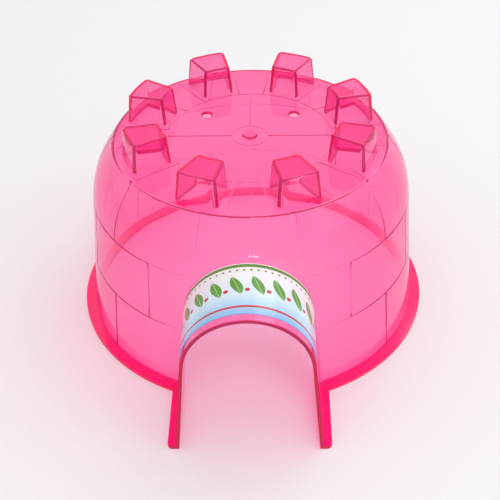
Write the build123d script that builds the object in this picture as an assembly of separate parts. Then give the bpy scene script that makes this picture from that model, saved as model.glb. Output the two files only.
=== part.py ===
from build123d import *
import math
import os

# A hide for a small pet, shaped like a snow house with a castle's battlements.
# It is one thin-walled moulding, open underneath, and a film label over its entrance.
# Lengths are in millimetres and angles in degrees. Z is up and the entrance faces -Y.
# The moulding is drawn round its dome's own axis and moved to its place at the end.

# The moulding
wall = 2.0
dome_foot_radius = 101.8
wall_rise = 93.5
wall_draft = 4.3
shoulder_rise = 20.8
shoulder_inset = 13.5
shoulder_blend = 53.0
roof_edge_cut = 1.2

# The entrance tunnel
arch_radius = 34.0
arch_height = 92.6
tunnel_draft = 4.8
tunnel_reach = 142.5
throat_blend = 5.0

# The flange round the foot
flange_thickness = 2.0
dome_flange_width = 6.2
tunnel_flange_width = 4.6
flange_throat_corner = 2.0
flange_front_corner = 3.0

# The battlements
merlon_count = 8
merlon_inner_radius = 52.0
merlon_outer_radius = 76.2
merlon_half_angle = 10.2
merlon_height = 17.5
merlon_draft = 5.0
merlon_foot_corner = 3.0
merlon_top_corner = 2.0
merlon_edge_cut = 1.1

# The joints between the blocks of snow
blocks_per_course = 10
lower_joint_height = 41.5
upper_joint_height = 79.5
joint_width = 1.7
ring_joint_depth = 0.6
upright_joint_depth = 0.54

# The lines on the roof
roof_ring_radius = 48.8
gate_ring_radius = 10.7
merlon_line_angle = 13.7
roof_line_width = 0.9
roof_line_depth = 0.3
roof_line_end_gap = 2.5
roof_cross_count = 4

# The vents and the stub of the moulding gate
vent_radius = 3.6
vent_across = 26.5
vent_behind = 24.5
gate_radius = 4.7
gate_height = 1.4
gate_draft = 20.0

# The label
label_thickness = 0.25
label_glue = 0.05
label_setback = 5.0
label_throat_gap = 2.0
label_half_angle = 82.0

# How far a cutting tool runs past the face that it cuts
past = 6.0

roof_height = wall_rise + shoulder_rise
flange_radius = dome_foot_radius + dome_flange_width
dome_middle = (tunnel_reach - flange_radius) / 2
wall_lean = math.tan(math.radians(wall_draft))
tunnel_lean = math.tan(math.radians(tunnel_draft))
throat_radius = dome_foot_radius - (arch_height + wall) * wall_lean
label_width = tunnel_reach - label_setback - throat_radius - label_throat_gap
block_angle = 360 / blocks_per_course
merlon_angle = 360 / merlon_count
front = -90.0


def dome_corners(below=0.0):
    """The dome's outer half section before its shoulder is blended, from foot to roof centre."""
    shoulder = Vector(dome_foot_radius - wall_rise * wall_lean, wall_rise)
    return [
        Vector(dome_foot_radius + below * wall_lean, -below),
        shoulder,
        shoulder + Vector(-shoulder_inset, shoulder_rise),
        Vector(0, roof_height),
    ]


def inset_corner(before, corner, after, inset):
    """A corner of the half section, moved so that both its sides move inwards by the inset."""
    first = (corner - before).normalized()
    second = (after - corner).normalized()
    sum_of_normals = Vector(-first.Y - second.Y, first.X + second.X)
    return corner + sum_of_normals * (inset / (1 + first.dot(second)))


def dome(inset=0.0, below=0.0):
    """The solid that the dome's wall encloses, with its outer face moved in by the inset.

    Only the outer face has a cut along the roof's edge.
    """
    foot, shoulder, edge, centre = dome_corners(below)
    start = foot - Vector(inset / math.cos(math.radians(wall_draft)), 0)
    bend = inset_corner(foot, shoulder, edge, inset)
    rim = inset_corner(shoulder, edge, centre, inset)
    cut = 0 if inset else roof_edge_cut
    low = rim - (rim - bend).normalized() * cut
    high = rim - Vector(cut, 0)
    side = FilletPolyline(start, bend, low, radius=[shoulder_blend - inset])
    corners = [low, high, (0, rim.Y), (0, -below), start]
    rest = Polyline(*corners) if cut else Polyline(*corners[1:])
    return revolve(Plane.XZ * make_face(side.edges() + rest.edges()), Axis.Z)


def tunnel_section(inset=0.0, below=0.0):
    """The tunnel's outer section moved in by the inset: an arch on two walls that lean in."""
    radius = arch_radius + wall - inset
    middle = arch_height - arch_radius
    side = radius * math.cos(math.radians(tunnel_draft))
    spring = middle + radius * math.sin(math.radians(tunnel_draft))
    foot = side + (spring + below) * tunnel_lean
    arch = ThreePointArc((side, spring), (0, middle + radius), (-side, spring))
    legs = Polyline((-side, spring), (-foot, -below), (foot, -below), (side, spring))
    return make_face(arch.edges() + legs.edges())


def tunnel(inset=0.0, below=0.0, ahead=0.0):
    """The solid that the tunnel's walls enclose, from the dome's axis to the front."""
    return extrude(Plane.XZ * tunnel_section(inset, below), tunnel_reach + ahead)


def throat_edges(solid):
    """The edges where the tunnel runs into the dome, the only ones that aren't lines or arcs."""
    return [e for e in solid.edges() if e.geom_type not in (GeomType.LINE, GeomType.CIRCLE)]


def hood_outside():
    """Dome and tunnel as one block, blended where they meet."""
    block = dome() + tunnel()
    return fillet(throat_edges(block), throat_blend)


def hood_inside():
    """The space under the hood, which leaves an even wall, in the throat too."""
    space = dome(wall, past) + tunnel(wall, past, past)
    return fillet(throat_edges(space), throat_blend + wall)


def flange():
    """The flat rim round the foot, which runs on along both sides of the entrance."""
    half_width = tunnel_section().bounding_box().max.X + tunnel_flange_width
    runner = Pos(0, -tunnel_reach / 2) * Rectangle(2 * half_width, tunnel_reach)
    outline = Circle(flange_radius) + runner
    outline = fillet(outline.vertices().sort_by(Axis.Y)[2:], flange_throat_corner)
    outline = fillet(outline.vertices().sort_by(Axis.Y)[:2], flange_front_corner)
    return extrude(outline, flange_thickness)


def merlon_section(inset, corner=0.0):
    """A sector of the roof ring at +X with its four sides moved in, and its corners rounded."""
    inner, outer = merlon_inner_radius + inset, merlon_outer_radius - inset
    half_angle = math.radians(merlon_half_angle)
    point = inset / math.sin(half_angle)
    reach = 2 * merlon_outer_radius
    spread = reach * math.tan(half_angle)
    far_corners = [(point + reach, -spread), (point + reach, spread)]
    wedge = make_face(Polyline((point, 0), *far_corners, close=True))
    section = (Circle(outer) - Circle(inner)) & wedge
    return fillet(section.vertices(), corner) if corner else section


def merlon():
    """One battlement at +X on its base plane, lofted up its drafted sides and over its edge."""
    lean = math.tan(math.radians(merlon_draft))
    edge = merlon_height - merlon_edge_cut
    sections = [
        merlon_section(0, merlon_foot_corner),
        Pos(Z=edge) * merlon_section(edge * lean, merlon_top_corner),
        Pos(Z=merlon_height) * merlon_section(edge * lean + merlon_edge_cut, merlon_top_corner),
    ]
    return loft(sections, ruled=True)


def merlon_hollow():
    """The space inside a battlement, which leaves its wall even, with its top one wall lower."""
    draft = math.radians(merlon_draft)
    inset = wall / math.cos(draft) - wall * math.tan(draft)
    return extrude(merlon_section(inset), merlon_height, taper=merlon_draft)


def around(tool, count, first):
    """Copies of a tool that is drawn at +X, evenly spaced about the dome's axis."""
    return [Rot(Z=first + step * 360 / count) * tool for step in range(count)]


def vee(width, depth):
    """A vee groove's section: its point is at the depth, its mouth at the surface and past it."""
    outside = depth
    half_mouth = width / 2 * (1 + outside / depth)
    return make_face(Polyline((-half_mouth, outside), (half_mouth, outside), (0, -depth), close=True))


def groove_along(path, width, depth):
    """A vee groove swept along a path on the half section at +X, which runs up or inwards."""
    start = Plane(origin=path @ 0, x_dir=(0, -1, 0), z_dir=path % 0)
    return sweep(start * vee(width, depth), path=path)


def groove_ring(point, along, width, depth):
    """A vee groove round the dome's axis, at a point of the half section at +X."""
    return revolve(Plane(origin=point, x_dir=along, z_dir=(0, -1, 0)) * vee(width, depth), Axis.Z)


def block_joints():
    """The grooves between the blocks: two rings, and upright joints staggered from course to course.

    They come in groups of tools that don't touch each other, one group to a cut.
    """
    foot, shoulder, edge, centre = dome_corners(past)
    climb = Plane.XZ * FilletPolyline(foot, shoulder, edge, radius=[shoulder_blend])
    rings = []
    for height in (lower_joint_height, upper_joint_height):
        place = climb.intersect(Plane.XY.offset(height))[0]
        rings.append(groove_ring(place, climb.tangent_at(place) * -1, joint_width, ring_joint_depth))
    groups = [rings]
    upright = groove_along(climb, joint_width, upright_joint_depth)
    levels = (flange_thickness, lower_joint_height, upper_joint_height, roof_height + past)
    for course, (low, high) in enumerate(zip(levels, levels[1:])):
        reach = 2 * flange_radius
        storey = Pos(reach / 2, 0, (low + high) / 2) * Box(reach, 4 * joint_width, high - low)
        stagger = block_angle / 2 if course % 2 == 0 else 0
        groups.append(around(upright & storey, blocks_per_course, front + stagger))
    keep_clear = tunnel(-throat_blend, past, past)
    return [[piece for tool in group for piece in (tool - keep_clear).solids()] for group in groups]


def roof_lines():
    """The fine lines on the roof: two rings, a cross, and a line each side of every battlement."""
    size = roof_line_width, roof_line_depth
    rings = [
        groove_ring((radius, 0, roof_height), (1, 0, 0), *size)
        for radius in (roof_ring_radius, gate_ring_radius)
    ]
    arm = Line((roof_ring_radius, 0, roof_height), (gate_ring_radius, 0, roof_height))
    cross = around(groove_along(arm, *size), roof_cross_count, front)
    roof_rim = dome_corners()[2].X - roof_line_end_gap
    spoke = Line((roof_rim, 0, roof_height), (roof_ring_radius, 0, roof_height))
    spokes = []
    for side in (-merlon_line_angle, merlon_line_angle):
        first = front + merlon_angle / 2 + side
        spokes += around(groove_along(spoke, *size), merlon_count, first)
    return [rings, cross, spokes]


def vents():
    """The two round vents through the roof."""
    vent = Cylinder(vent_radius, wall + 2 * past)
    return [Pos(side * vent_across, vent_behind, roof_height) * vent for side in (-1, 1)]


def igloo_shell():
    """The whole moulding: an even wall with grooves outside and hollow battlements on the roof."""
    first_merlon = front + merlon_angle / 2
    shell = hood_outside() + flange()
    shell += around(Pos(Z=roof_height) * merlon(), merlon_count, first_merlon)
    shell += Pos(Z=roof_height) * extrude(Circle(gate_radius), gate_height, taper=gate_draft)
    shell -= hood_inside()
    hollow = Pos(Z=roof_height - wall) * merlon_hollow()
    shell -= around(hollow, merlon_count, first_merlon)
    for tools in block_joints() + roof_lines() + [vents()]:
        shell -= tools
    return shell


def entrance_label():
    """A film on the tunnel's arch, with a coat of glue between them."""
    inner = arch_radius + wall + label_glue
    start = 90 - label_half_angle
    arcs = [CenterArc((0, 0), inner + rise, start, 2 * label_half_angle) for rise in (0, label_thickness)]
    ends = [Line(arcs[0] @ end, arcs[1] @ end) for end in (0, 1)]
    band = make_face([curve.edges()[0] for curve in arcs + ends])
    film = extrude(Plane.XZ * band, label_width)
    return Pos(0, label_setback + label_width - tunnel_reach, arch_height - arch_radius) * film


def save(name, shape):
    """Writes one piece, moved so that the part's box is centred on the origin."""
    placed = Pos(0, dome_middle, 0) * shape
    export_step(placed, os.path.join("parts", name + ".step"))
    print(name, round(placed.volume), "cubic mm,", len(placed.faces()), "faces")


os.makedirs("parts", exist_ok=True)
save("igloo_shell", igloo_shell())
save("entrance_label", entrance_label())
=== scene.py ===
# %% [markdown]
# # A rodent igloo, moulded in clear pink plastic
# This lesson dresses a small pet house. The house is one thin moulding: a round dome on a foot
# flange, eight hollow battlements on its roof and a short arched tunnel in front, with a printed
# film wrapped over the tunnel. The exact solids come from the CAD model. The script gives them
# smooth shading, a clear plastic that darkens with depth, a print, a floor, lamps and a camera.
# Lengths are in metres throughout.

# %% Load the fixed frame
import math

import bmesh
import bpy
import numpy as np
from mathutils import Matrix, Vector


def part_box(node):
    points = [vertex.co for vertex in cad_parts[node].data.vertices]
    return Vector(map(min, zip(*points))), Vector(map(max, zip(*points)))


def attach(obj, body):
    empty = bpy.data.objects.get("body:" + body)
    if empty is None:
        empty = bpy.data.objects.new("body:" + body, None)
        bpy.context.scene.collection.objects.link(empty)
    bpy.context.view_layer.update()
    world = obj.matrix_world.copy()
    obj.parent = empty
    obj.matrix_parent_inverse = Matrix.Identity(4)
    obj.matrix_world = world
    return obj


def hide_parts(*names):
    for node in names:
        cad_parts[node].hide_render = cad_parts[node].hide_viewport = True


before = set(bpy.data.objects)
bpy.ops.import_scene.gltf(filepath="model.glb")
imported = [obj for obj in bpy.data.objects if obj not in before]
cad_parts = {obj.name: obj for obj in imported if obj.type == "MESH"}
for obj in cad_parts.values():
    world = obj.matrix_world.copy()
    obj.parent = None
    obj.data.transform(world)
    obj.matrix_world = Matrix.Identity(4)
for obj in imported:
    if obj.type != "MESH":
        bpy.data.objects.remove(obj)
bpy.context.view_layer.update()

print("CAD nodes:", sorted(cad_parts))

# %% [markdown]
# ## The camera
# The photograph was taken from above and in front with a long lens, a little turned. The place,
# the turn and the focal length were fitted together, by laying the flange's edge, the joint
# rings, the roof ring, the battlements' corners and the arch over the same forms in the picture.

# %% Place the camera
CAMERA_PLACE = Vector((0.01369, -0.53965, 0.46173))
CAMERA_LOOK = Vector((-0.02134, 0.78913, -0.61385)).normalized()
CAMERA_ROLL = -0.0215
CAMERA_LENS = 79.49
CAMERA_SENSOR = 36.0
CAMERA_CLIP = (0.02, 30.0)

across = CAMERA_LOOK.cross(Vector((0, 0, 1))).normalized()
upward = across.cross(CAMERA_LOOK)
camera_right = across * math.cos(CAMERA_ROLL) + upward * math.sin(CAMERA_ROLL)
camera_up = upward * math.cos(CAMERA_ROLL) - across * math.sin(CAMERA_ROLL)
camera_turn = Matrix((camera_right, camera_up, -CAMERA_LOOK)).transposed().to_4x4()

camera = bpy.data.objects.new("camera", bpy.data.cameras.new("camera"))
camera.data.sensor_width = CAMERA_SENSOR
camera.data.lens = CAMERA_LENS
camera.data.clip_start, camera.data.clip_end = CAMERA_CLIP
camera.matrix_world = Matrix.Translation(CAMERA_PLACE) @ camera_turn
bpy.context.scene.collection.objects.link(camera)
bpy.context.scene.camera = camera
print("camera looks down by", round(math.degrees(math.asin(-CAMERA_LOOK.z)), 1), "degrees")

# %% [markdown]
# ## Small helpers for node trees
# A material is a tree of nodes. These helpers add a node with its settings and link sockets by
# name, so that each recipe below reads as a short list.

# %% Helpers for nodes
def add_node(tree, kind, **settings):
    """Adds a node of a kind to a tree and gives it its settings."""
    node = tree.nodes.new(kind)
    for name, value in settings.items():
        setattr(node, name, value)
    return node


def set_inputs(node, **values):
    """Fills a node's input sockets. A name's underscores stand for spaces."""
    for name, value in values.items():
        node.inputs[name.replace("_", " ")].default_value = value
    return node


def math_node(tree, operation, first, second=None):
    """A Math node whose inputs are sockets or plain numbers."""
    node = add_node(tree, "ShaderNodeMath", operation=operation)
    for place, value in enumerate((first, second)):
        if isinstance(value, bpy.types.NodeSocket):
            tree.links.new(value, node.inputs[place])
        elif value is not None:
            node.inputs[place].default_value = value
    return node.outputs[0]


def ramp(tree, factor, stops):
    """A straight colour ramp: stops are (place, colour), the colour as grey or three numbers."""
    node = add_node(tree, "ShaderNodeValToRGB")
    while len(node.color_ramp.elements) < len(stops):
        node.color_ramp.elements.new(0.5)
    for element, (place, colour) in zip(node.color_ramp.elements, stops):
        element.position = place
        shade = (colour,) * 3 if isinstance(colour, (int, float)) else colour
        element.color = (*shade, 1.0)
    tree.links.new(factor, node.inputs["Fac"])
    return node.outputs["Color"]


def new_material(name):
    """An empty node material with its output node."""
    material = bpy.data.materials.new(name)
    material.use_nodes = True
    material.node_tree.nodes.clear()
    output = add_node(material.node_tree, "ShaderNodeOutputMaterial")
    return material, material.node_tree, output

# %% [markdown]
# ## A node group for a moulded skin
# No moulded skin is perfectly even. The steel of the mould leaves a slow waviness, and handling
# leaves hair-fine rubs. The plastic and the film both have this, each in its own measure, so it
# is one node group with its strengths as inputs. It puts out only what changes over the surface:
# a height for a Bump node and a roughness.

# %% Build the skin group
WAVE_SCALE = 38.0
RUB_SCALE = 260.0
RUB_STRETCH = (1.0, 0.35, 0.6)
RUB_TURN = (0.4, 0.2, 0.7)
RUB_FROM, RUB_FULL = 0.52, 0.78


def make_skin_group():
    """Object coordinates go in; a height in metres and a roughness come out."""
    group = bpy.data.node_groups.new("moulded_skin", "ShaderNodeTree")
    sockets = group.interface
    for name, default in (("Wave Height", 0.00002), ("Roughness", 0.03), ("Rub Roughness", 0.1)):
        socket = sockets.new_socket(name=name, in_out="INPUT", socket_type="NodeSocketFloat")
        socket.default_value = default
    sockets.new_socket(name="Height", in_out="OUTPUT", socket_type="NodeSocketFloat")
    sockets.new_socket(name="Roughness", in_out="OUTPUT", socket_type="NodeSocketFloat")
    entry = add_node(group, "NodeGroupInput")
    leave = add_node(group, "NodeGroupOutput")
    place = add_node(group, "ShaderNodeTexCoord")

    wave = set_inputs(add_node(group, "ShaderNodeTexNoise"), Scale=WAVE_SCALE, Detail=1.0)
    group.links.new(place.outputs["Object"], wave.inputs["Vector"])
    height = math_node(group, "MULTIPLY", wave.outputs["Fac"], entry.outputs["Wave Height"])
    group.links.new(height, leave.inputs["Height"])

    rub = set_inputs(add_node(group, "ShaderNodeTexNoise"), Scale=RUB_SCALE, Detail=3.0)
    stretch = add_node(group, "ShaderNodeMapping")
    stretch.inputs["Scale"].default_value = RUB_STRETCH
    stretch.inputs["Rotation"].default_value = RUB_TURN
    group.links.new(place.outputs["Object"], stretch.inputs["Vector"])
    group.links.new(stretch.outputs["Vector"], rub.inputs["Vector"])
    worn = ramp(group, rub.outputs["Fac"], [(RUB_FROM, 0.0), (RUB_FULL, 1.0)])
    rough = math_node(group, "MULTIPLY", worn, entry.outputs["Rub Roughness"])
    rough = math_node(group, "ADD", rough, entry.outputs["Roughness"])
    group.links.new(rough, leave.inputs["Roughness"])
    return group


skin_group = make_skin_group()
outputs = [s.name for s in skin_group.interface.items_tree if s.in_out == "OUTPUT"]
print("skin group puts out:", outputs)


def add_skin(tree, shader, wave_height, roughness, rub_roughness):
    """Places the skin group in a material and links it to the shader's roughness and normal."""
    skin = add_node(tree, "ShaderNodeGroup", node_tree=skin_group)
    set_inputs(skin, Wave_Height=wave_height, Roughness=roughness, Rub_Roughness=rub_roughness)
    bump = set_inputs(add_node(tree, "ShaderNodeBump"), Strength=1.0, Distance=1.0)
    tree.links.new(skin.outputs["Height"], bump.inputs["Height"])
    tree.links.new(skin.outputs["Roughness"], shader.inputs["Roughness"])
    tree.links.new(bump.outputs["Normal"], shader.inputs["Normal"])

# %% [markdown]
# ## Clear pink plastic
# The house is a clear plastic with a pink dye. Its colour comes from how far light travels in
# it: one 2 mm wall is pale pink, and two or three walls one behind another are hot pink. So most
# of the colour is a Volume Absorption in the wall, under a surface of clear glass. A painted
# pink surface would look equally deep everywhere.
#
# Three small helps go with it. A little diffuse haze and a faint emission keep rays that end inside
# the glass from leaving black lines. They are aids to the rendering and no measured property of the
# plastic. The emission is painted light: a faint pink glow in the plastic, which is no lamp, so it
# glows faintly in the dark too. The foot flange and the doorway's front edge get a deeper, darker
# pink painted into the glass and its haze. This is painted shade, which stands in for the light
# that runs along a wall and comes out there. Lamps have to shine into the house too. Cycles counts
# glass as opaque in a shadow, so a shadow ray meets a see-through surface instead, and the dye
# still tints it on its way.

# %% Mix the clear plastic
DYE_COLOUR = (0.998, 0.02, 0.54)
DYE_DENSITY = 250.0
PLASTIC_IOR = 1.5
HAZE_COLOUR = (1.0, 0.05, 0.38)
HAZE_SHARE = 0.14
# The next two colours are painted shade: a deeper, darker pink for the foot flange and the
# doorway's front edge.
RIM_SHADE_COLOUR = (0.93, 0.08, 0.42)
RIM_SHADE_HAZE = (0.93, 0.004, 0.26)
# The next two values are painted light: a faint pink glow in the plastic, which is no lamp.
GLOW_STRENGTH = 0.5
PAINTED_GLOW_COLOUR = (0.070, 0.0015, 0.032)
SHADOW_PASS = 0.99
FLANGE_RIM = (0.0032, 0.0020)
DOORWAY_RIM = (-0.1238, -0.1250)
WALL_PATH = 0.0023


def rim_shade_mask(tree):
    """1 in the foot flange and at the doorway's front edge, and 0 in the walls: a straight rise
    over each rim's range, by height for the flange and by y for the doorway. It places the painted
    shade at the rims."""
    place = add_node(tree, "ShaderNodeTexCoord")
    parts = add_node(tree, "ShaderNodeSeparateXYZ")
    tree.links.new(place.outputs["Object"], parts.inputs["Vector"])
    masks = []
    for axis, (clear_at, full_at) in (("Z", FLANGE_RIM), ("Y", DOORWAY_RIM)):
        edge = add_node(tree, "ShaderNodeMapRange")
        set_inputs(edge, From_Min=clear_at, From_Max=full_at)
        tree.links.new(parts.outputs[axis], edge.inputs["Value"])
        masks.append(edge.outputs["Result"])
    return math_node(tree, "MAXIMUM", *masks)


def make_shell_plastic():
    """Hazy glass with dye in its wall, which shadow rays pass, with a painted glow and painted
    shade at its rims.
    """
    material, tree, output = new_material("shell_plastic")
    glass = add_node(tree, "ShaderNodeBsdfPrincipled")
    set_inputs(glass, Metallic=0.0, IOR=PLASTIC_IOR, Transmission_Weight=1.0)
    # Painted light: the plastic emits a faint pink glow, though it is no lamp.
    set_inputs(glass, Emission_Color=(*PAINTED_GLOW_COLOUR, 1.0), Emission_Strength=GLOW_STRENGTH)
    add_skin(tree, glass, wave_height=0.000015, roughness=0.02, rub_roughness=0.10)
    # Painted shade: the mask turns the glass and its haze a deeper, darker pink at the flange and
    # the doorway's front edge.
    rim = rim_shade_mask(tree)
    glass_colour_with_rim_shade = ramp(tree, rim, [(0.0, 1.0), (1.0, RIM_SHADE_COLOUR)])
    tree.links.new(glass_colour_with_rim_shade, glass.inputs["Base Color"])
    haze = add_node(tree, "ShaderNodeBsdfDiffuse")
    tree.links.new(ramp(tree, rim, [(0.0, HAZE_COLOUR), (1.0, RIM_SHADE_HAZE)]), haze.inputs["Color"])
    cloudy = add_node(tree, "ShaderNodeMixShader")
    cloudy.inputs["Fac"].default_value = HAZE_SHARE
    tree.links.new(glass.outputs["BSDF"], cloudy.inputs[1])
    tree.links.new(haze.outputs["BSDF"], cloudy.inputs[2])
    rays = add_node(tree, "ShaderNodeLightPath")
    clear = add_node(tree, "ShaderNodeBsdfTransparent")
    set_inputs(clear, Color=(SHADOW_PASS, SHADOW_PASS, SHADOW_PASS, 1.0))
    choice = add_node(tree, "ShaderNodeMixShader")
    tree.links.new(rays.outputs["Is Shadow Ray"], choice.inputs["Fac"])
    tree.links.new(cloudy.outputs["Shader"], choice.inputs[1])
    tree.links.new(clear.outputs["BSDF"], choice.inputs[2])
    tree.links.new(choice.outputs["Shader"], output.inputs["Surface"])
    dye = add_node(tree, "ShaderNodeVolumeAbsorption")
    set_inputs(dye, Color=(*DYE_COLOUR, 1.0), Density=DYE_DENSITY)
    tree.links.new(dye.outputs["Volume"], output.inputs["Volume"])
    return material


shell_plastic = make_shell_plastic()
wall_pass = [math.exp(-WALL_PATH * DYE_DENSITY * (1.0 - c)) for c in DYE_COLOUR]
print("one wall lets through:", [round(v, 2) for v in wall_pass])

# %% [markdown]
# ## The moulding
# The CAD mesh is loose flat triangles, which would glitter like a cut gem. It has the right
# shape, so it is kept, and only its shading is worked on: a copy is joined at its corners, and
# each corner gets the direction that the true curved wall has there. The dome is a turned form
# and the tunnel an arch, so both directions are simple sums. A large flat face keeps its own
# direction. Everywhere else a corner takes the mean of the faces round it, weighted by the area
# of their planes, which makes the small cuts along the edges shade like rounded edges.

# %% Join a copy of the CAD mesh
MERGE_WITHIN = 2e-6


def joined_copy(node, name):
    """A copy of a CAD node whose loose triangles share their corners."""
    mesh = node.data.copy()
    mesh.name = name
    work = bmesh.new()
    work.from_mesh(mesh)
    bmesh.ops.remove_doubles(work, verts=work.verts, dist=MERGE_WITHIN)
    work.to_mesh(mesh)
    work.free()
    piece = bpy.data.objects.new(name, mesh)
    bpy.context.scene.collection.objects.link(piece)
    return piece


shell = joined_copy(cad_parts["igloo_shell"], "moulded_shell")
print("shell corners:", len(shell.data.vertices), "triangles:", len(shell.data.polygons))

# %% The true directions of the dome and the tunnel
DOME_MIDDLE = 0.01725
DOME_FOOT_RADIUS = 0.1018
WALL_RISE = 0.0935
WALL_LEAN = math.tan(math.radians(4.3))
SHOULDER = np.array((DOME_FOOT_RADIUS - WALL_RISE * WALL_LEAN, WALL_RISE))
SHOULDER_STEP = np.array((-0.0135, 0.0208))
SHOULDER_BLEND = 0.053
ROOF_HEIGHT = 0.1143
ARCH_RADIUS = 0.036
ARCH_MIDDLE = 0.0586
TUNNEL_DRAFT = math.radians(4.8)


def blend_centre():
    """The middle of the arc that rounds the shoulder: from the corner, inwards along the
    bisector, by radius / cos(half the turn)."""
    wall_normal = np.array((1.0, WALL_LEAN)) / math.hypot(1.0, WALL_LEAN)
    step = SHOULDER_STEP / np.linalg.norm(SHOULDER_STEP)
    slope_normal = np.array((step[1], -step[0]))
    inward = wall_normal + slope_normal
    centre = SHOULDER - inward * SHOULDER_BLEND / (1.0 + wall_normal @ slope_normal)
    return centre, wall_normal, slope_normal


BLEND_CENTRE, WALL_NORMAL, SLOPE_NORMAL = blend_centre()


def dome_direction(points):
    """Outward directions of the dome at points: the angle of a point round the arc's middle,
    held between the wall's angle and the slope's, then turned round the dome's axis."""
    out = points[:, :2] - np.array((0.0, DOME_MIDDLE))
    radius = np.linalg.norm(out, axis=1)
    angle = np.arctan2(points[:, 2] - BLEND_CENTRE[1], radius - BLEND_CENTRE[0])
    low = math.atan2(WALL_NORMAL[1], WALL_NORMAL[0])
    high = math.atan2(SLOPE_NORMAL[1], SLOPE_NORMAL[0])
    angle = np.clip(angle, low, high)
    turn = out / np.maximum(radius, 1e-9)[:, None]
    return np.column_stack((turn * np.cos(angle)[:, None], np.sin(angle)))


def dome_profile_radius(height):
    """The outer radius of the dome at a height: the line of the wall, the arc, then the slope."""
    wall_line = DOME_FOOT_RADIUS - height * WALL_LEAN
    slope_line = SHOULDER[0] + (height - SHOULDER[1]) * SHOULDER_STEP[0] / SHOULDER_STEP[1]
    lift = np.clip(height - BLEND_CENTRE[1], 0.0, SHOULDER_BLEND)
    arc = BLEND_CENTRE[0] + np.sqrt(SHOULDER_BLEND**2 - lift**2)
    arc_low = BLEND_CENTRE[1] + SHOULDER_BLEND * WALL_NORMAL[1]
    arc_high = BLEND_CENTRE[1] + SHOULDER_BLEND * SLOPE_NORMAL[1]
    return np.where(height < arc_low, wall_line, np.where(height > arc_high, slope_line, arc))


def tunnel_direction(points):
    """Outward directions of the tunnel: the angle of a point round the arch's middle, never
    less than the lean of its legs."""
    angle = np.arctan2(points[:, 2] - ARCH_MIDDLE, np.abs(points[:, 0]))
    angle = np.maximum(angle, TUNNEL_DRAFT)
    side = np.where(points[:, 0] < 0.0, -1.0, 1.0)
    return np.column_stack((np.cos(angle) * side, np.zeros(len(points)), np.sin(angle)))


def tunnel_depth(points):
    """How far points lie inside the tunnel's outer skin: measured from the arch or from a leg."""
    across_by = np.abs(points[:, 0])
    up_by = points[:, 2] - ARCH_MIDDLE
    arch = ARCH_RADIUS - np.hypot(across_by, up_by)
    leg = ARCH_RADIUS - across_by * math.cos(TUNNEL_DRAFT) - up_by * math.sin(TUNNEL_DRAFT)
    return np.where(np.arctan2(up_by, across_by) < TUNNEL_DRAFT, leg, arch)


print("shoulder arc is centred at radius, height:", BLEND_CENTRE.round(4))

# %% Shade the moulding
SMOOTH_ANGLE = math.radians(50.0)
LARGE_PLANE = 6e-5
DOME_WEIGHT = 1e-3
ON_SKIN = math.cos(math.radians(5.0))
SKIN_BAND = (-0.0006, 0.0028)
ROOF_EDGE = 0.0012
PLANES_PER_METRE = 2e4
TINY = 1e-18


def in_wall(depth):
    """True where a depth under the outer skin lies in the wall, with a little to spare."""
    return (depth > SKIN_BAND[0]) & (depth < SKIN_BAND[1])


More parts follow.
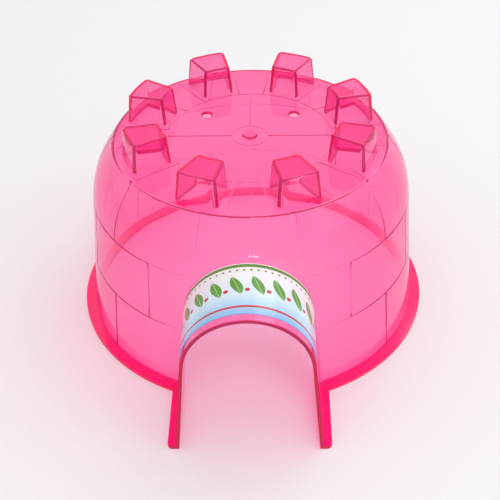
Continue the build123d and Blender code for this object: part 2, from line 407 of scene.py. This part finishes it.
def shade_shell(piece):
    """Gives every face corner its direction, worked out for all corners at once: the curved
    wall's own on the dome and the tunnel, the plane's own on a large plane, and elsewhere the
    mean of the faces that meet there within the smooth angle, weighted by their planes' area."""
    mesh = piece.data
    corners = np.empty(len(mesh.polygons) * 3, np.int64)
    mesh.loops.foreach_get("vertex_index", corners)
    points = np.empty(len(mesh.vertices) * 3)
    mesh.vertices.foreach_get("co", points)
    points = points.reshape(-1, 3)
    faces = corners.reshape(-1, 3)
    ends = points[faces]
    spans = np.cross(ends[:, 1] - ends[:, 0], ends[:, 2] - ends[:, 0])
    area = np.linalg.norm(spans, axis=1)
    flat = spans / np.maximum(area, TINY)[:, None]
    middle = ends.mean(axis=1)

    offset = np.einsum("ij,ij->i", flat, middle)
    plane = np.column_stack((flat.round(3), (offset * PLANES_PER_METRE).round()))
    _, cluster = np.unique(plane, axis=0, return_inverse=True)
    cluster = cluster.reshape(-1)
    plane_area = np.bincount(cluster, area)[cluster] / 2.0

    corner_points = points[corners]
    direction = np.repeat(flat, 3, axis=0)
    weight = plane_area.copy()

    radius = np.hypot(middle[:, 0], middle[:, 1] - DOME_MIDDLE)
    inside_by = dome_profile_radius(middle[:, 2]) - radius
    facing = np.einsum("ij,ij->i", flat, dome_direction(middle))
    on_dome = (np.abs(facing) > ON_SKIN) & in_wall(inside_by)
    on_dome &= middle[:, 2] < ROOF_HEIGHT - ROOF_EDGE
    tunnel_facing = np.einsum("ij,ij->i", flat, tunnel_direction(middle))
    depth = tunnel_depth(middle)
    on_tunnel = (np.abs(tunnel_facing) > ON_SKIN) & in_wall(depth) & ~on_dome
    skins = (on_dome, facing, dome_direction), (on_tunnel, tunnel_facing, tunnel_direction)
    for chosen, sense, find in skins:
        mine = np.repeat(chosen, 3)
        outward = np.sign(np.repeat(sense, 3)[mine])[:, None]
        direction[mine] = find(corner_points[mine]) * outward
        weight[chosen] = DOME_WEIGHT
    fixed = np.repeat(on_dome | on_tunnel | (plane_area > LARGE_PLANE), 3)
    weight = np.repeat(weight, 3)

    order = np.argsort(corners, kind="stable")
    count = np.bincount(corners, minlength=len(points))
    start = np.concatenate(([0], np.cumsum(count)[:-1]))
    many = count[corners]
    mine = np.repeat(np.arange(len(corners)), many)
    step = np.arange(many.sum()) - np.repeat(np.cumsum(many) - many, many)
    other = order[start[corners[mine]] + step]
    near = np.einsum("ij,ij->i", flat[mine // 3], flat[other // 3]) > math.cos(SMOOTH_ANGLE)
    share = direction[other] * (weight[other] * near)[:, None]
    smooth = np.column_stack([np.bincount(mine, share[:, k], len(corners)) for k in range(3)])
    smooth /= np.maximum(np.linalg.norm(smooth, axis=1), TINY)[:, None]
    smooth[fixed] = direction[fixed]

    mesh.polygons.foreach_set("use_smooth", np.ones(len(mesh.polygons), bool))
    mesh.normals_split_custom_set(smooth)
    return int(on_dome.sum()), int(on_tunnel.sum())


on_dome, on_tunnel = shade_shell(shell)
shell.data.materials.clear()
shell.data.materials.append(shell_plastic)
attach(shell, "root")
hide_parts("igloo_shell")
print("faces on the dome:", on_dome, "and on the tunnel:", on_tunnel)

# %% [markdown]
# ## The printed film
# A thin printed film is wrapped over the tunnel from one springing to the other. It is a sheet
# 0.25 mm thick, so it is worked out as a closed arch of two skins joined round their edges, with
# a UV map that is the flat print: U round the arch, V from the front to the dome.

# %% Roll the film over the tunnel
FILM_INNER = 0.03605
FILM_OUTER = 0.0363
FILM_HALF_ANGLE = math.radians(82.0)
film_low, film_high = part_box("entrance_label")


def rolled_film(name, steps_round=72, steps_along=16):
    """A closed sheet: at angle a and length v, x = r sin a, z = middle + r cos a, y = v."""
    angles = np.linspace(-FILM_HALF_ANGLE, FILM_HALF_ANGLE, steps_round + 1)
    lengths = np.linspace(film_high.y, film_low.y, steps_along + 1)
    a, y = np.meshgrid(angles, lengths, indexing="ij")
    skins = []
    for radius in (FILM_OUTER, FILM_INNER):
        skins.append(np.stack((radius * np.sin(a), y, ARCH_MIDDLE + radius * np.cos(a)), axis=-1))
    points = np.concatenate([skin.reshape(-1, 3) for skin in skins])

    index = np.arange(a.size).reshape(a.shape)
    quads = np.stack((index[:-1, :-1], index[:-1, 1:], index[1:, 1:], index[1:, :-1]), axis=-1)
    quads = quads.reshape(-1, 4)
    ring = np.concatenate((index[:-1, 0], index[-1, :-1], index[:0:-1, -1], index[0, :0:-1]))
    after = np.roll(ring, -1)
    rim = np.stack((ring, after, after + a.size, ring + a.size), axis=-1)
    inner = quads[:, ::-1] + a.size
    faces = np.concatenate((quads, inner, rim))

    mesh = bpy.data.meshes.new(name)
    mesh.from_pydata(points.tolist(), [], faces.tolist())
    u = (a - angles[0]) / (angles[-1] - angles[0])
    v = (y - lengths[-1]) / (lengths[0] - lengths[-1])
    flat_print = np.stack((u, v), axis=-1).reshape(-1, 2)
    uv = np.concatenate([flat_print] * 2)
    layer = mesh.uv_layers.new(name="print")
    layer.data.foreach_set("uv", uv[faces.reshape(-1)].reshape(-1).astype(np.float32))
    piece = bpy.data.objects.new(name, mesh)
    bpy.context.scene.collection.objects.link(piece)

    work = bmesh.new()
    work.from_mesh(mesh)
    bmesh.ops.recalc_face_normals(work, faces=work.faces)
    work.to_mesh(mesh)
    work.free()
    smooth = np.ones(len(faces), bool)
    smooth[-len(rim):] = False
    mesh.polygons.foreach_set("use_smooth", smooth)
    edge_mark = mesh.attributes.new("sharp_edge", "BOOLEAN", "EDGE")
    ends = np.empty(len(mesh.edges) * 2, np.int64)
    mesh.edges.foreach_get("vertices", ends)
    on_rim = np.isin(ends % a.size, ring).reshape(-1, 2).all(axis=1)
    edge_mark.data.foreach_set("value", on_rim)
    return piece


film = rolled_film("printed_film")
film_round = 2.0 * FILM_HALF_ANGLE * FILM_OUTER
film_long = film_high.y - film_low.y
print("film is", round(film_round * 1000, 1), "mm round and", round(film_long * 1000, 1), "mm long")

# %% [markdown]
# ## The print
# The print is this lesson's own: a blue ground that fades to white from the front to the dome, a
# row of plain green leaves with red berries along the middle, a thin red line near the front,
# and a dotted line and a green band near the dome. Every mark is a sum on the film's UV map in
# millimetres, so it stays sharp at any size.

# %% Mix the printed film
MILLIMETRES = 1000.0
LEAF_COUNT = 9
LEAF_LINE, LEAF_TILT = 23.0, 0.35
LEAF_HALF_LENGTH, LEAF_HALF_WIDTH, VEIN_HALF_WIDTH = 7.5, 3.1, 0.22
BERRY_LINE, BERRY_RADIUS_SQUARED = 19.0, 1.9
DOT_LINE, DOT_RADIUS_SQUARED = 35.2, 0.55
RED_LINE, GREEN_BAND = (5.0, 6.6), (37.6, 40.1)
LEAF_COLOUR, VEIN_COLOUR = (0.10, 0.34, 0.05), (0.45, 0.66, 0.25)
BAND_COLOUR, BERRY_COLOUR = (0.09, 0.30, 0.04), (0.62, 0.02, 0.03)
GROUND_COLOURS = [
    (0.0, (0.24, 0.50, 0.84)),
    (0.38, (0.66, 0.83, 0.94)),
    (0.8, (0.90, 0.94, 0.96)),
]


def make_label_film():
    """A glossy white film with a generic printed pattern."""
    material, tree, output = new_material("label_film")
    shader = add_node(tree, "ShaderNodeBsdfPrincipled")
    set_inputs(shader, Metallic=0.0, IOR=1.5, Coat_Weight=0.3, Coat_Roughness=0.05)
    uv = add_node(tree, "ShaderNodeUVMap", uv_map="print")
    parts = add_node(tree, "ShaderNodeSeparateXYZ")
    tree.links.new(uv.outputs["UV"], parts.inputs["Vector"])
    around_mm = math_node(tree, "MULTIPLY", parts.outputs["X"], film_round * MILLIMETRES)
    along_mm = math_node(tree, "MULTIPLY", parts.outputs["Y"], film_long * MILLIMETRES)

    ground = ramp(tree, parts.outputs["Y"], GROUND_COLOURS)

    def mix(factor, below, above):
        """Lays a plain colour over another where the factor is 1."""
        node = add_node(tree, "ShaderNodeMix", data_type="RGBA")
        tree.links.new(factor, node.inputs["Factor"])
        tree.links.new(below, node.inputs["A"])
        node.inputs["B"].default_value = (*above, 1.0)
        return node.outputs["Result"]

    def band(value, low, high):
        """1 between two values and 0 outside them."""
        over = math_node(tree, "GREATER_THAN", value, low)
        return math_node(tree, "MULTIPLY", over, math_node(tree, "LESS_THAN", value, high))

    def repeat(value, pitch):
        """A value counted again from -pitch/2 to pitch/2 in every step of the pitch."""
        node = add_node(tree, "ShaderNodeMath", operation="WRAP")
        tree.links.new(value, node.inputs[0])
        node.inputs[1].default_value = pitch / 2.0
        node.inputs[2].default_value = -pitch / 2.0
        return node.outputs[0]

    def leaf(across_by, along_by, half_length, half_width):
        """Inside a leaf: |across| is less than half width times (1 - (along / half length)^2)."""
        ratio = math_node(tree, "DIVIDE", along_by, half_length)
        bow = math_node(tree, "SUBTRACT", 1.0, math_node(tree, "MULTIPLY", ratio, ratio))
        edge = math_node(tree, "MULTIPLY", bow, half_width)
        size = math_node(tree, "ABSOLUTE", across_by)
        return math_node(tree, "LESS_THAN", size, edge)

    def spot(across_by, along_by, radius_squared):
        """Inside a round spot: across^2 + along^2 is less than its radius squared."""
        squares = [math_node(tree, "MULTIPLY", side, side) for side in (across_by, along_by)]
        return math_node(tree, "LESS_THAN", math_node(tree, "ADD", *squares), radius_squared)

    pitch = film_round * MILLIMETRES / LEAF_COUNT
    leaf_along = math_node(tree, "SUBTRACT", along_mm, LEAF_LINE)
    lean = math_node(tree, "MULTIPLY", leaf_along, LEAF_TILT)
    tilted = math_node(tree, "ADD", repeat(around_mm, pitch), lean)
    green = leaf(tilted, leaf_along, LEAF_HALF_LENGTH, LEAF_HALF_WIDTH)
    midrib = math_node(tree, "LESS_THAN", math_node(tree, "ABSOLUTE", tilted), VEIN_HALF_WIDTH)
    colour = mix(green, ground, LEAF_COLOUR)
    colour = mix(math_node(tree, "MULTIPLY", green, midrib), colour, VEIN_COLOUR)
    colour = mix(band(along_mm, *RED_LINE), colour, BERRY_COLOUR)
    berry_across = repeat(math_node(tree, "ADD", around_mm, pitch / 2.0), pitch)
    berry_along = math_node(tree, "SUBTRACT", along_mm, BERRY_LINE)
    colour = mix(spot(berry_across, berry_along, BERRY_RADIUS_SQUARED), colour, BERRY_COLOUR)
    colour = mix(band(along_mm, *GREEN_BAND), colour, BAND_COLOUR)
    dot_along = math_node(tree, "SUBTRACT", along_mm, DOT_LINE)
    dot = spot(repeat(around_mm, pitch / 3.0), dot_along, DOT_RADIUS_SQUARED)
    colour = mix(dot, colour, LEAF_COLOUR)
    tree.links.new(colour, shader.inputs["Base Color"])
    add_skin(tree, shader, wave_height=0.00001, roughness=0.16, rub_roughness=0.12)
    tree.links.new(shader.outputs["BSDF"], output.inputs["Surface"])
    return material


label_film = make_label_film()
film.data.materials.append(label_film)
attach(film, "root")
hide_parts("entrance_label")
print("film material nodes:", len(label_film.node_tree.nodes))

# %% [markdown]
# ## The studio floor
# The house stands on a roll of white paper that curves up behind it. It is one sheet: a flat
# part, a quarter circle and an upright part, carried sideways as a profile.

# %% Roll out the paper
PAPER_UNDER_FOOT = 0.0002
PAPER_TONES = [(0.3, (0.86, 0.86, 0.87)), (0.7, (0.88, 0.88, 0.89))]
GRAIN_SCALE = 900.0


def paper_sweep(name, front=-8.0, bend_at=3.0, radius=1.2, top=3.2, half_width=8.0, steps=24):
    """A profile in y and z carried along x: flat, a quarter circle, then upright."""
    turn = np.linspace(-math.pi / 2.0, 0.0, steps + 1)
    y = np.concatenate(([front], bend_at + radius * np.cos(turn), [bend_at + radius]))
    z = np.concatenate(([0.0], radius + radius * np.sin(turn), [top])) - PAPER_UNDER_FOOT
    x = np.array((-half_width, half_width))
    grid = np.stack((np.repeat(x, len(y)), np.tile(y, 2), np.tile(z, 2)), axis=-1)
    first = np.arange(len(y) - 1)
    faces = np.stack((first, first + len(y), first + len(y) + 1, first + 1), axis=-1)
    mesh = bpy.data.meshes.new(name)
    mesh.from_pydata(grid.tolist(), [], faces.tolist())
    mesh.polygons.foreach_set("use_smooth", np.ones(len(faces), bool))
    sweep = bpy.data.objects.new(name, mesh)
    bpy.context.scene.collection.objects.link(sweep)
    return sweep


def make_paper():
    """Matt white paper with a trace of grain."""
    material, tree, output = new_material("studio_paper")
    shader = set_inputs(add_node(tree, "ShaderNodeBsdfPrincipled"), Roughness=0.9, IOR=1.3)
    place = add_node(tree, "ShaderNodeTexCoord")
    grain = set_inputs(add_node(tree, "ShaderNodeTexNoise"), Scale=GRAIN_SCALE, Detail=2.0)
    tree.links.new(place.outputs["Object"], grain.inputs["Vector"])
    colour = ramp(tree, grain.outputs["Fac"], PAPER_TONES)
    tree.links.new(colour, shader.inputs["Base Color"])
    tree.links.new(shader.outputs["BSDF"], output.inputs["Surface"])
    return material


paper = paper_sweep("studio_sweep")
paper.data.materials.append(make_paper())
print("paper faces:", len(paper.data.polygons))

# %% [markdown]
# ## Soft studio light
# A white room lights the house from all sides, and three soft boxes give the light a direction:
# a large one high behind on the right, a large one on the right, and a small one over the camera.
# Its smallness makes its reflections bright, as on the shoulder.

# %% Hang the lamps
ROOM_LIGHT = 0.76
ROOM_SEEN = 0.92
LAMP_AIM = Vector((0.0, 0.0, 0.05))


def soft_box(name, place, size, power):
    """A square area lamp of a side in metres, turned to the middle of the house."""
    lamp = bpy.data.lights.new(name, "AREA")
    lamp.shape = "SQUARE"
    lamp.size = size
    lamp.energy = power
    piece = bpy.data.objects.new(name, lamp)
    turn = (LAMP_AIM - Vector(place)).to_track_quat("-Z", "Y")
    piece.matrix_world = Matrix.Translation(place) @ turn.to_matrix().to_4x4()
    bpy.context.scene.collection.objects.link(piece)


soft_box("soft_box_back", (0.9, 1.1, 1.7), 1.6, 9.5)
soft_box("soft_box_right", (1.5, -0.5, 1.3), 1.6, 5.0)
soft_box("soft_box_front", (0.2, -1.3, 1.8), 0.45, 8.0)

world = bpy.data.worlds.new("white_room")
world.use_nodes = True
room = world.node_tree
room.nodes.clear()
rays = add_node(room, "ShaderNodeLightPath")
seen = math_node(room, "MAXIMUM", rays.outputs["Is Camera Ray"], rays.outputs["Is Glossy Ray"])
seen = math_node(room, "MAXIMUM", seen, rays.outputs["Is Transmission Ray"])
strength = set_inputs(add_node(room, "ShaderNodeMapRange"), To_Min=ROOM_LIGHT, To_Max=ROOM_SEEN)
room.links.new(seen, strength.inputs["Value"])
white = set_inputs(add_node(room, "ShaderNodeBackground"), Color=(1.0, 1.0, 1.0, 1.0))
room.links.new(strength.outputs["Result"], white.inputs["Strength"])
room_output = add_node(room, "ShaderNodeOutputWorld")
room.links.new(white.outputs["Background"], room_output.inputs["Surface"])
bpy.context.scene.world = world
bpy.context.scene.view_settings.view_transform = "Standard"
